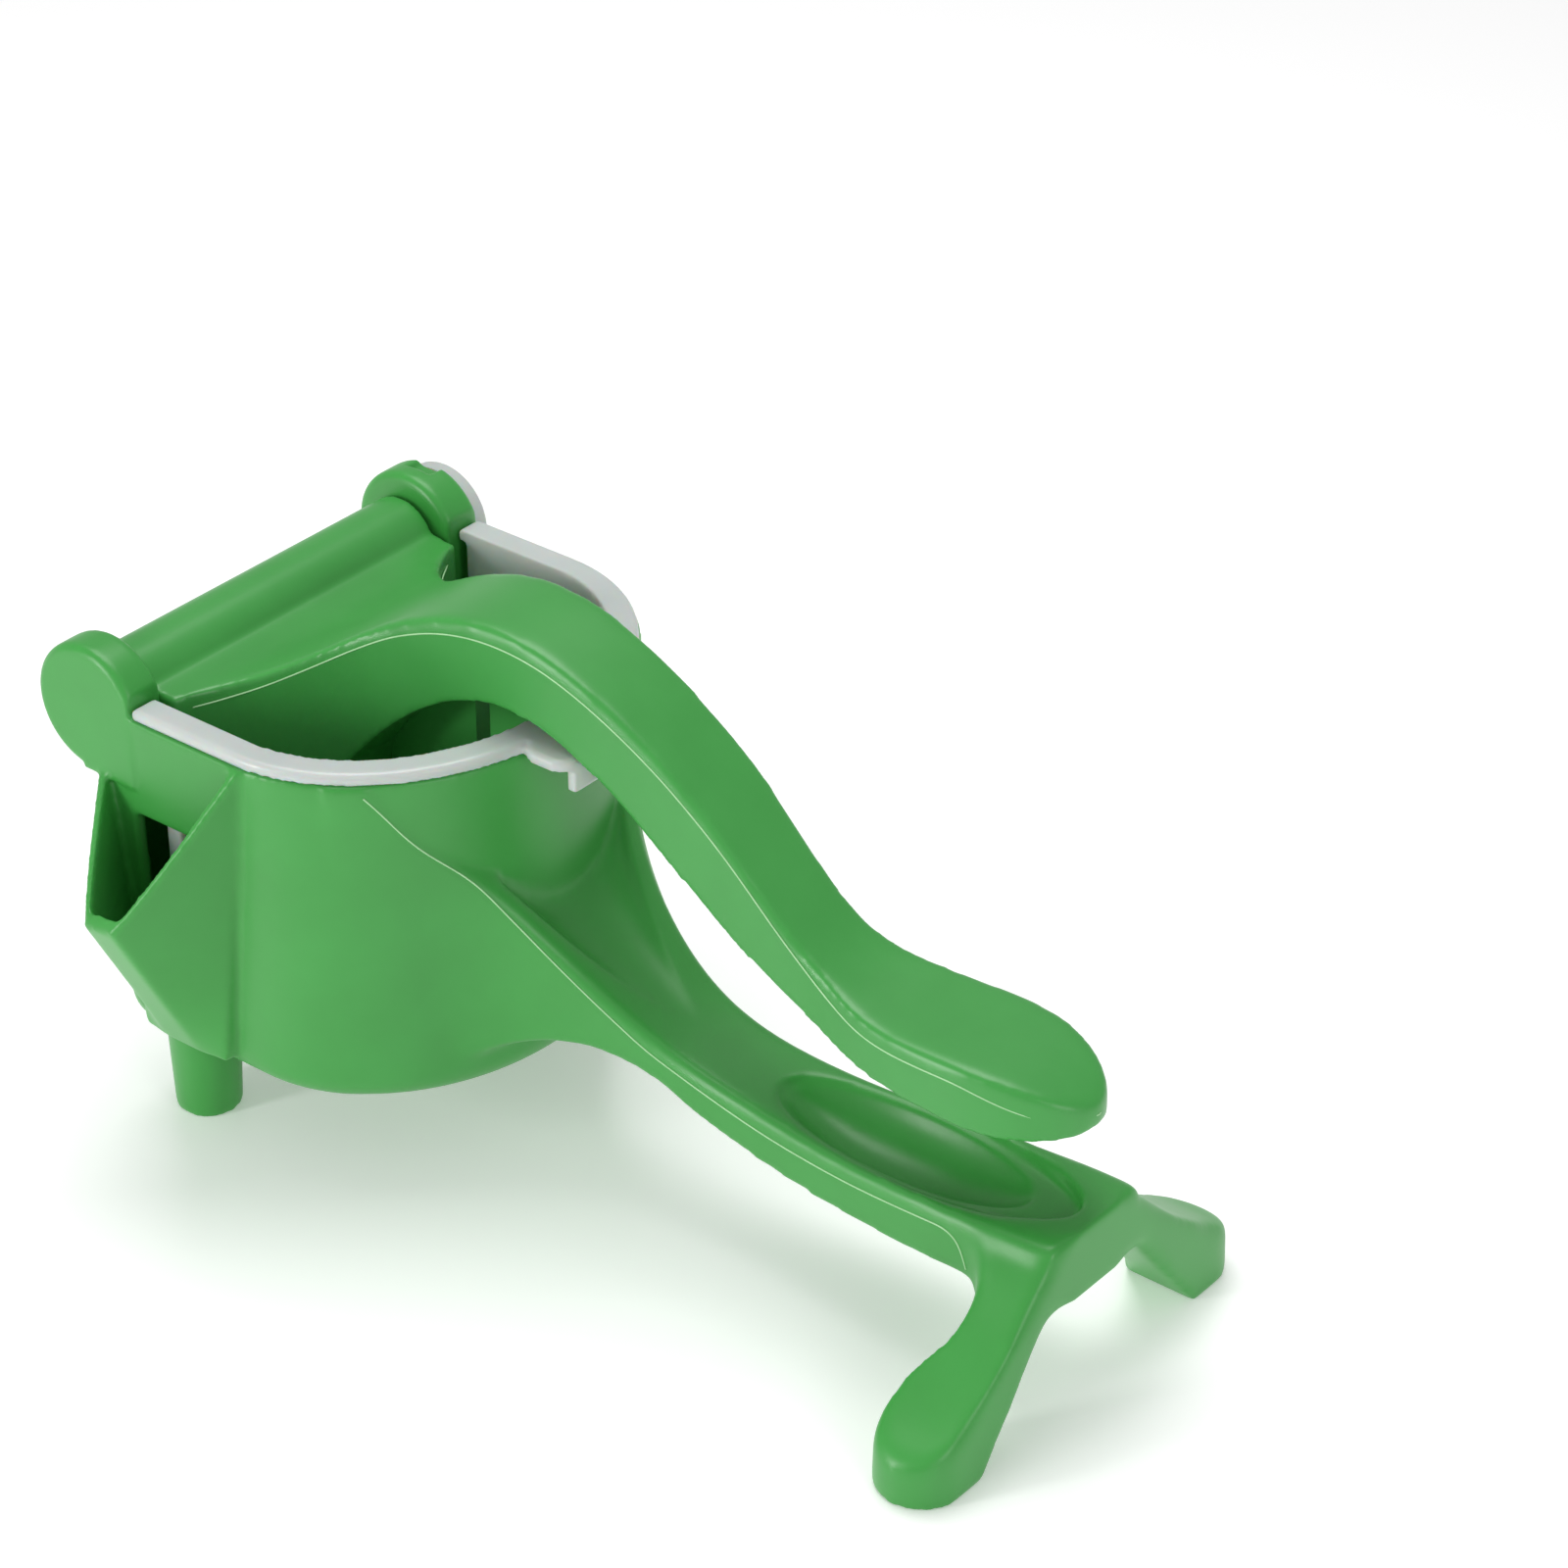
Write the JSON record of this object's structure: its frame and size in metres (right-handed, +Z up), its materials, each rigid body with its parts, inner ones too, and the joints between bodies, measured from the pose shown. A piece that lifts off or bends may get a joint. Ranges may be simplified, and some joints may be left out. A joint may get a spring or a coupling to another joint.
{
  "type": "lever hand-press juicer",
  "caption": "Tabletop citrus press: a cup with a pour spout and a lift-out strainer, and a hinged lever that squeezes fruit against a lower handle on a splayed foot.",
  "frame": {"origin": "middle of the overall box, on the plane that the feet stand on", "axes": "+X from the hinge towards the handle's end, +Y away from the spout, +Z up"},
  "size_m": [0.2206, 0.1252, 0.12],
  "materials": {
    "green_moulding": "satin moulded polypropylene",
    "green_lever": "satin moulded polypropylene",
    "natural_strainer": "natural polypropylene, slightly translucent",
    "natural_pin": "natural polypropylene, slightly translucent"
  },
  "bodies": {
    "body": {"cup": "green_moulding", "near_hinge_ear": "green_moulding", "far_hinge_ear": "green_moulding", "pour_spout": "green_moulding", "rear_feet": "green_moulding", "lower_handle": "green_moulding", "front_foot": "green_moulding", "strainer": "natural_strainer"},
    "lever": {"lever": "green_lever", "press_plate": "green_lever"},
    "hinge_pin": {"hinge_pin": "natural_pin"}
  },
  "joints": [
    {"name": "lever_hinge", "type": "hinge", "parent": "body", "child": "lever", "pos_m": [-0.0967, 0.00852, 0.094], "axis": [0, -1, 0], "range_deg": [0, 105]},
    {"name": "pin_pull_out", "type": "slide", "parent": "body", "child": "hinge_pin", "axis": [0, 1, 0], "range_m": [0, 0.105]}
  ]
}
